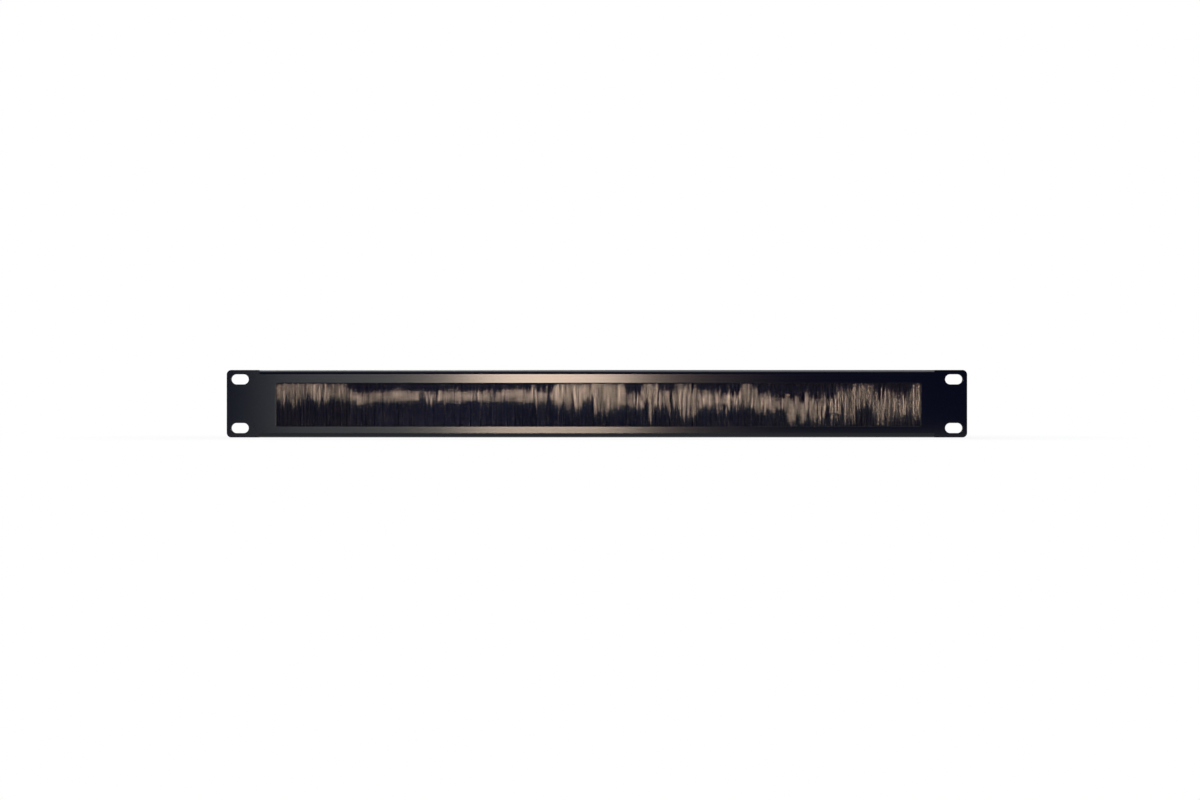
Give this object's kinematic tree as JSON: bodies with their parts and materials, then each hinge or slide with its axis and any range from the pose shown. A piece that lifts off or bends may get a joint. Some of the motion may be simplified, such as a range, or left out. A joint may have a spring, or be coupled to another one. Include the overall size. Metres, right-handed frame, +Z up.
{
  "type": "rack brush strip panel",
  "caption": "Flanged steel rack panel, one unit high, with rack slots in its ears and a long window closed by a hanging filament brush that cables pass through.",
  "frame": {"origin": "middle of the four rack slots, on the back face of the sheet, where the ears seat on the rack's rails", "axes": "+X along the panel, to the right seen from the front; +Y from the front face back into the rack; +Z up"},
  "size_m": [0.4826, 0.016, 0.044],
  "materials": {
    "powder_coat": "satin black powder coat with fine orange peel",
    "stud_steel": "zinc plated thread, head coated with the panel",
    "carrier_aluminium": "mill finish extrusion",
    "galvanised_strip": "galvanised strip",
    "wire_steel": "drawn wire",
    "nylon_filament": "black nylon filaments with a soft sheen",
    "fastener_zinc": "bright zinc plate"
  },
  "bodies": {
    "root": {"front_panel": "powder_coat", "clinch_studs": "stud_steel", "brush_carrier": "carrier_aluminium", "brush_channel": "galvanised_strip", "core_wire": "wire_steel", "bristles": "nylon_filament", "washers": "fastener_zinc", "nuts": "fastener_zinc"}
  },
  "joints": []
}
